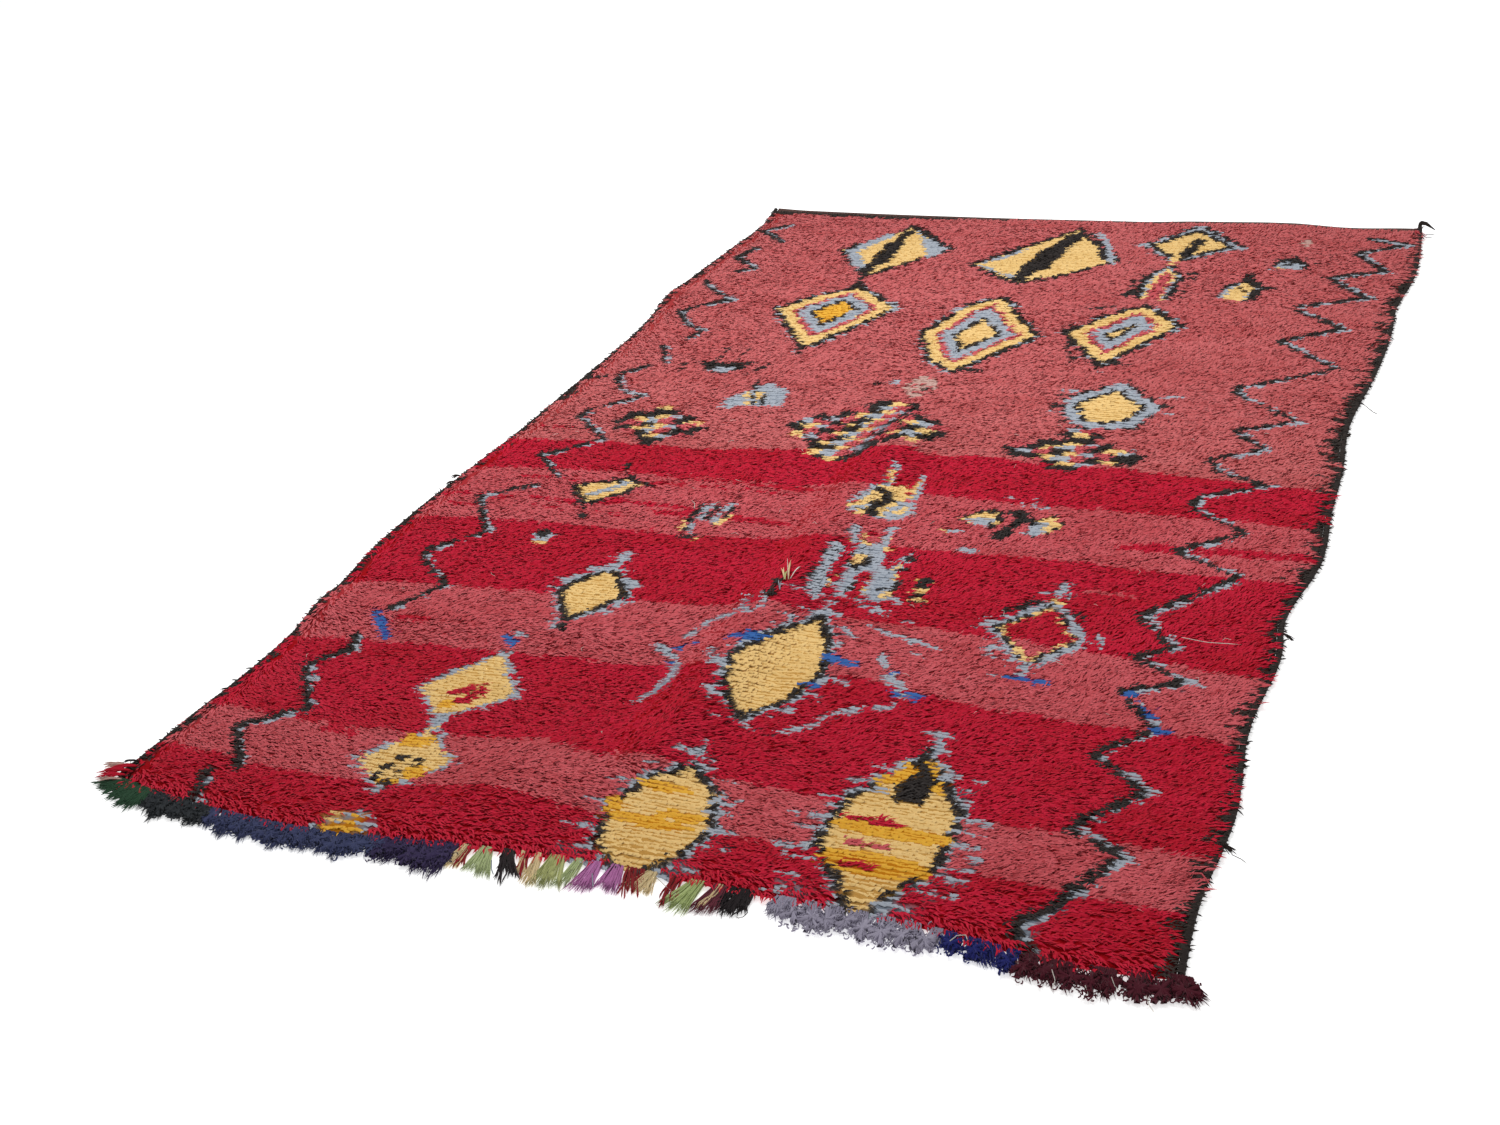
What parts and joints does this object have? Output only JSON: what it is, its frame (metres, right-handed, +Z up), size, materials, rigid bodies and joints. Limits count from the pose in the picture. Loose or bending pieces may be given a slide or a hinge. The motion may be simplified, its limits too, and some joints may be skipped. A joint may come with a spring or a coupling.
{
  "type": "hand-knotted pile rug",
  "caption": "Rectangular hand-knotted wool pile rug with overcast sides and short tied yarn ends, lying flat on a floor.",
  "frame": {"origin": "on the floor, at the middle of the rug's length and width, fringe included", "axes": "X across the rug, +Y along it from the fringed near end to the far end, +Z up out of the pile"},
  "size_m": [1.65, 2.64, 0.0316],
  "materials": {
    "crimson_pile": "matte wool pile",
    "rose_pile": "matte wool pile",
    "gold_pile": "matte wool pile",
    "saffron_pile": "matte wool pile",
    "black_pile": "matte wool pile",
    "mist_pile": "matte wool pile",
    "cobalt_pile": "matte wool pile",
    "charcoal_cord": "matte overcast wool",
    "walnut_web": "matte plain-woven wool",
    "bottle_green_yarn": "matte loose yarn",
    "charcoal_green_yarn": "matte loose yarn",
    "slate_navy_yarn": "matte loose yarn",
    "aubergine_yarn": "matte loose yarn",
    "pale_green_yarn": "matte loose yarn",
    "black_yarn": "matte loose yarn",
    "cream_yarn": "matte loose yarn",
    "lime_yarn": "matte loose yarn",
    "orchid_yarn": "matte loose yarn",
    "rust_yarn": "matte loose yarn",
    "leaf_yarn": "matte loose yarn",
    "maroon_yarn": "matte loose yarn",
    "lilac_grey_yarn": "matte loose yarn",
    "navy_yarn": "matte loose yarn",
    "wine_yarn": "matte loose yarn"
  },
  "bodies": {
    "root": {"pile_field": "crimson_pile", "end_web": "walnut_web", "selvedge_left": "charcoal_cord", "selvedge_right": "charcoal_cord", "fringe_green": "bottle_green_yarn", "fringe_charcoal": "charcoal_green_yarn", "fringe_slate_navy": "slate_navy_yarn", "fringe_aubergine": "aubergine_yarn", "fringe_pale_green": "pale_green_yarn", "fringe_black_left": "black_yarn", "fringe_cream": "cream_yarn", "fringe_lime": "lime_yarn", "fringe_orchid": "orchid_yarn", "fringe_rust": "rust_yarn", "fringe_leaf": "leaf_yarn", "fringe_maroon": "maroon_yarn", "fringe_black_right": "black_yarn", "fringe_lilac": "lilac_grey_yarn", "fringe_navy": "navy_yarn", "fringe_wine": "wine_yarn"}
  },
  "joints": []
}
